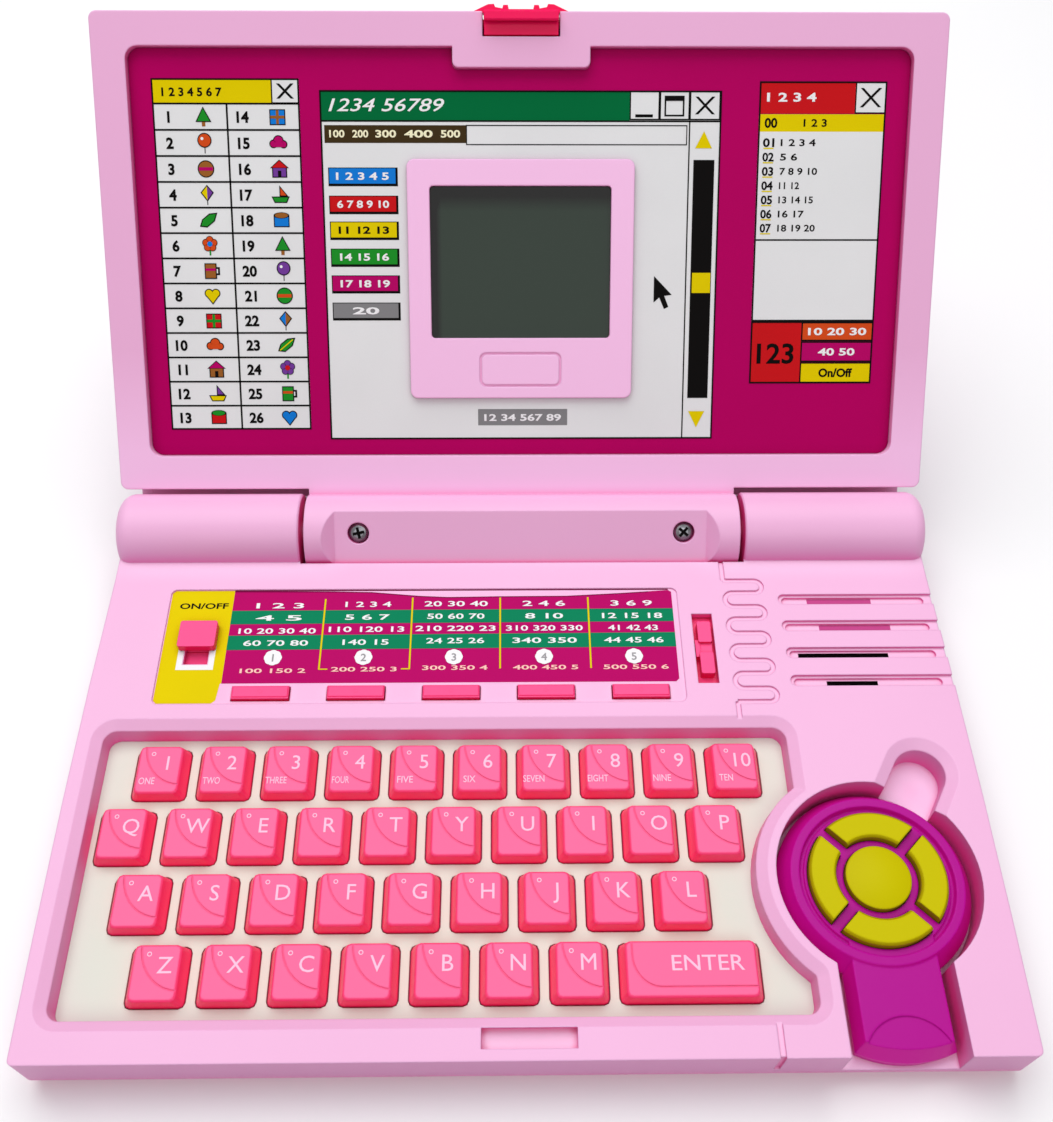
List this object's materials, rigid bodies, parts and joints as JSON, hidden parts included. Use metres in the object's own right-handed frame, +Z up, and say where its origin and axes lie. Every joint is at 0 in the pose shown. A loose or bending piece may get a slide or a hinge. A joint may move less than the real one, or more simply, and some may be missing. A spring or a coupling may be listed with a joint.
{
  "type": "toy laptop computer",
  "caption": "Clamshell toy laptop with hinged screen lid, press keys, lift-out mouse with arrow pad, sliders and function buttons.",
  "frame": {"origin": "on the table under the middle of the open part's box", "axes": "+X to the user's right, +Y to the back where the lid leans, +Z up"},
  "size_m": [0.263, 0.2882, 0.1382],
  "materials": {
    "case_pink": "satin moulded ABS",
    "key_pink": "satin moulded ABS, translucent look",
    "plate_cream": "satin moulded",
    "membrane_grey": "moulded silicone",
    "board_green": "solder mask",
    "speaker_black": "pressed basket with paper cone",
    "card_print": "printed card",
    "lcd_dark": "unlit liquid crystal screen",
    "latch_red": "gloss moulded",
    "mouse_purple": "satin moulded",
    "pad_lime": "satin moulded"
  },
  "bodies": {
    "base": {"base_top_case": "case_pink", "base_bottom_case": "case_pink", "battery_door": "case_pink", "keyboard_plate": "plate_cream", "key_membrane": "membrane_grey", "circuit_board": "board_green", "speaker": "speaker_black"},
    "lid": {"lid_front_bezel": "case_pink", "lid_back_cover": "case_pink", "screen_card": "card_print", "lcd_module": "lcd_dark"},
    "latch": {"latch": "latch_red"},
    "mouse": {"mouse_top_shell": "mouse_purple", "mouse_bottom_shell": "mouse_purple"},
    "mouse_arrow_ring": {"mouse_arrow_ring": "pad_lime"},
    "mouse_centre_button": {"mouse_centre_button": "pad_lime"},
    "power_switch": {"power_switch": "key_pink"},
    "volume_slider": {"volume_slider": "key_pink"},
    "function_button_1": {"function_button_1": "key_pink"},
    "function_button_2": {"function_button_2": "key_pink"},
    "function_button_3": {"function_button_3": "key_pink"},
    "function_button_4": {"function_button_4": "key_pink"},
    "function_button_5": {"function_button_5": "key_pink"},
    "key_1": {"key_1": "key_pink"},
    "key_2": {"key_2": "key_pink"},
    "key_3": {"key_3": "key_pink"},
    "key_4": {"key_4": "key_pink"},
    "key_5": {"key_5": "key_pink"},
    "key_6": {"key_6": "key_pink"},
    "key_7": {"key_7": "key_pink"},
    "key_8": {"key_8": "key_pink"},
    "key_9": {"key_9": "key_pink"},
    "key_10": {"key_10": "key_pink"},
    "key_q": {"key_q": "key_pink"},
    "key_w": {"key_w": "key_pink"},
    "key_e": {"key_e": "key_pink"},
    "key_r": {"key_r": "key_pink"},
    "key_t": {"key_t": "key_pink"},
    "key_y": {"key_y": "key_pink"},
    "key_u": {"key_u": "key_pink"},
    "key_i": {"key_i": "key_pink"},
    "key_o": {"key_o": "key_pink"},
    "key_p": {"key_p": "key_pink"},
    "key_a": {"key_a": "key_pink"},
    "key_s": {"key_s": "key_pink"},
    "key_d": {"key_d": "key_pink"},
    "key_f": {"key_f": "key_pink"},
    "key_g": {"key_g": "key_pink"},
    "key_h": {"key_h": "key_pink"},
    "key_j": {"key_j": "key_pink"},
    "key_k": {"key_k": "key_pink"},
    "key_l": {"key_l": "key_pink"},
    "key_z": {"key_z": "key_pink"},
    "key_x": {"key_x": "key_pink"},
    "key_c": {"key_c": "key_pink"},
    "key_v": {"key_v": "key_pink"},
    "key_b": {"key_b": "key_pink"},
    "key_n": {"key_n": "key_pink"},
    "key_m": {"key_m": "key_pink"},
    "key_enter": {"key_enter": "key_pink"}
  },
  "joints": [
    {"name": "lid_hinge", "type": "hinge", "parent": "base", "child": "lid", "pos_m": [0, 0.02274, 0.0185], "axis": [-1, 0, 0], "range_deg": [-132.4, 0]},
    {"name": "latch_pivot", "type": "hinge", "parent": "lid", "child": "latch", "pos_m": [0, 0.13297, 0.1318], "axis": [-1, 0, 0], "range_deg": [0, 6], "stiffness_Nm_per_rad": 0.2},
    {"name": "mouse_lift", "type": "slide", "parent": "base", "child": "mouse", "axis": [0, 0, 1], "range_m": [0, 0.03]},
    {"name": "power_slide", "type": "slide", "parent": "base", "child": "power_switch", "axis": [0, -1, 0], "range_m": [0, 0.006]},
    {"name": "volume_slide", "type": "slide", "parent": "base", "child": "volume_slider", "axis": [0, 1, 0], "range_m": [-0.0026, 0.0026]},
    {"name": "mouse_arrow_press", "type": "slide", "parent": "mouse", "child": "mouse_arrow_ring", "axis": [0, 0, -1], "range_m": [0, 0.0012], "stiffness_N_per_m": 500},
    {"name": "mouse_centre_press", "type": "slide", "parent": "mouse", "child": "mouse_centre_button", "axis": [0, 0, -1], "range_m": [0, 0.0012], "stiffness_N_per_m": 500},
    {"name": "function_button_1_press", "type": "slide", "parent": "base", "child": "function_button_1", "axis": [0, 0, -1], "range_m": [0, 0.0009], "stiffness_N_per_m": 300},
    {"name": "function_button_2_press", "type": "slide", "parent": "base", "child": "function_button_2", "axis": [0, 0, -1], "range_m": [0, 0.0009], "stiffness_N_per_m": 300},
    {"name": "function_button_3_press", "type": "slide", "parent": "base", "child": "function_button_3", "axis": [0, 0, -1], "range_m": [0, 0.0009], "stiffness_N_per_m": 300},
    {"name": "function_button_4_press", "type": "slide", "parent": "base", "child": "function_button_4", "axis": [0, 0, -1], "range_m": [0, 0.0009], "stiffness_N_per_m": 300},
    {"name": "function_button_5_press", "type": "slide", "parent": "base", "child": "function_button_5", "axis": [0, 0, -1], "range_m": [0, 0.0009], "stiffness_N_per_m": 300},
    {"name": "key_1_press", "type": "slide", "parent": "base", "child": "key_1", "axis": [0, 0, -1], "range_m": [0, 0.002], "stiffness_N_per_m": 300},
    {"name": "key_2_press", "type": "slide", "parent": "base", "child": "key_2", "axis": [0, 0, -1], "range_m": [0, 0.002], "stiffness_N_per_m": 300},
    {"name": "key_3_press", "type": "slide", "parent": "base", "child": "key_3", "axis": [0, 0, -1], "range_m": [0, 0.002], "stiffness_N_per_m": 300},
    {"name": "key_4_press", "type": "slide", "parent": "base", "child": "key_4", "axis": [0, 0, -1], "range_m": [0, 0.002], "stiffness_N_per_m": 300},
    {"name": "key_5_press", "type": "slide", "parent": "base", "child": "key_5", "axis": [0, 0, -1], "range_m": [0, 0.002], "stiffness_N_per_m": 300},
    {"name": "key_6_press", "type": "slide", "parent": "base", "child": "key_6", "axis": [0, 0, -1], "range_m": [0, 0.002], "stiffness_N_per_m": 300},
    {"name": "key_7_press", "type": "slide", "parent": "base", "child": "key_7", "axis": [0, 0, -1], "range_m": [0, 0.002], "stiffness_N_per_m": 300},
    {"name": "key_8_press", "type": "slide", "parent": "base", "child": "key_8", "axis": [0, 0, -1], "range_m": [0, 0.002], "stiffness_N_per_m": 300},
    {"name": "key_9_press", "type": "slide", "parent": "base", "child": "key_9", "axis": [0, 0, -1], "range_m": [0, 0.002], "stiffness_N_per_m": 300},
    {"name": "key_10_press", "type": "slide", "parent": "base", "child": "key_10", "axis": [0, 0, -1], "range_m": [0, 0.002], "stiffness_N_per_m": 300},
    {"name": "key_q_press", "type": "slide", "parent": "base", "child": "key_q", "axis": [0, 0, -1], "range_m": [0, 0.002], "stiffness_N_per_m": 300},
    {"name": "key_w_press", "type": "slide", "parent": "base", "child": "key_w", "axis": [0, 0, -1], "range_m": [0, 0.002], "stiffness_N_per_m": 300},
    {"name": "key_e_press", "type": "slide", "parent": "base", "child": "key_e", "axis": [0, 0, -1], "range_m": [0, 0.002], "stiffness_N_per_m": 300},
    {"name": "key_r_press", "type": "slide", "parent": "base", "child": "key_r", "axis": [0, 0, -1], "range_m": [0, 0.002], "stiffness_N_per_m": 300},
    {"name": "key_t_press", "type": "slide", "parent": "base", "child": "key_t", "axis": [0, 0, -1], "range_m": [0, 0.002], "stiffness_N_per_m": 300},
    {"name": "key_y_press", "type": "slide", "parent": "base", "child": "key_y", "axis": [0, 0, -1], "range_m": [0, 0.002], "stiffness_N_per_m": 300},
    {"name": "key_u_press", "type": "slide", "parent": "base", "child": "key_u", "axis": [0, 0, -1], "range_m": [0, 0.002], "stiffness_N_per_m": 300},
    {"name": "key_i_press", "type": "slide", "parent": "base", "child": "key_i", "axis": [0, 0, -1], "range_m": [0, 0.002], "stiffness_N_per_m": 300},
    {"name": "key_o_press", "type": "slide", "parent": "base", "child": "key_o", "axis": [0, 0, -1], "range_m": [0, 0.002], "stiffness_N_per_m": 300},
    {"name": "key_p_press", "type": "slide", "parent": "base", "child": "key_p", "axis": [0, 0, -1], "range_m": [0, 0.002], "stiffness_N_per_m": 300},
    {"name": "key_a_press", "type": "slide", "parent": "base", "child": "key_a", "axis": [0, 0, -1], "range_m": [0, 0.002], "stiffness_N_per_m": 300},
    {"name": "key_s_press", "type": "slide", "parent": "base", "child": "key_s", "axis": [0, 0, -1], "range_m": [0, 0.002], "stiffness_N_per_m": 300},
    {"name": "key_d_press", "type": "slide", "parent": "base", "child": "key_d", "axis": [0, 0, -1], "range_m": [0, 0.002], "stiffness_N_per_m": 300},
    {"name": "key_f_press", "type": "slide", "parent": "base", "child": "key_f", "axis": [0, 0, -1], "range_m": [0, 0.002], "stiffness_N_per_m": 300},
    {"name": "key_g_press", "type": "slide", "parent": "base", "child": "key_g", "axis": [0, 0, -1], "range_m": [0, 0.002], "stiffness_N_per_m": 300},
    {"name": "key_h_press", "type": "slide", "parent": "base", "child": "key_h", "axis": [0, 0, -1], "range_m": [0, 0.002], "stiffness_N_per_m": 300},
    {"name": "key_j_press", "type": "slide", "parent": "base", "child": "key_j", "axis": [0, 0, -1], "range_m": [0, 0.002], "stiffness_N_per_m": 300},
    {"name": "key_k_press", "type": "slide", "parent": "base", "child": "key_k", "axis": [0, 0, -1], "range_m": [0, 0.002], "stiffness_N_per_m": 300},
    {"name": "key_l_press", "type": "slide", "parent": "base", "child": "key_l", "axis": [0, 0, -1], "range_m": [0, 0.002], "stiffness_N_per_m": 300},
    {"name": "key_z_press", "type": "slide", "parent": "base", "child": "key_z", "axis": [0, 0, -1], "range_m": [0, 0.002], "stiffness_N_per_m": 300},
    {"name": "key_x_press", "type": "slide", "parent": "base", "child": "key_x", "axis": [0, 0, -1], "range_m": [0, 0.002], "stiffness_N_per_m": 300},
    {"name": "key_c_press", "type": "slide", "parent": "base", "child": "key_c", "axis": [0, 0, -1], "range_m": [0, 0.002], "stiffness_N_per_m": 300},
    {"name": "key_v_press", "type": "slide", "parent": "base", "child": "key_v", "axis": [0, 0, -1], "range_m": [0, 0.002], "stiffness_N_per_m": 300},
    {"name": "key_b_press", "type": "slide", "parent": "base", "child": "key_b", "axis": [0, 0, -1], "range_m": [0, 0.002], "stiffness_N_per_m": 300},
    {"name": "key_n_press", "type": "slide", "parent": "base", "child": "key_n", "axis": [0, 0, -1], "range_m": [0, 0.002], "stiffness_N_per_m": 300},
    {"name": "key_m_press", "type": "slide", "parent": "base", "child": "key_m", "axis": [0, 0, -1], "range_m": [0, 0.002], "stiffness_N_per_m": 300},
    {"name": "key_enter_press", "type": "slide", "parent": "base", "child": "key_enter", "axis": [0, 0, -1], "range_m": [0, 0.002], "stiffness_N_per_m": 300}
  ]
}
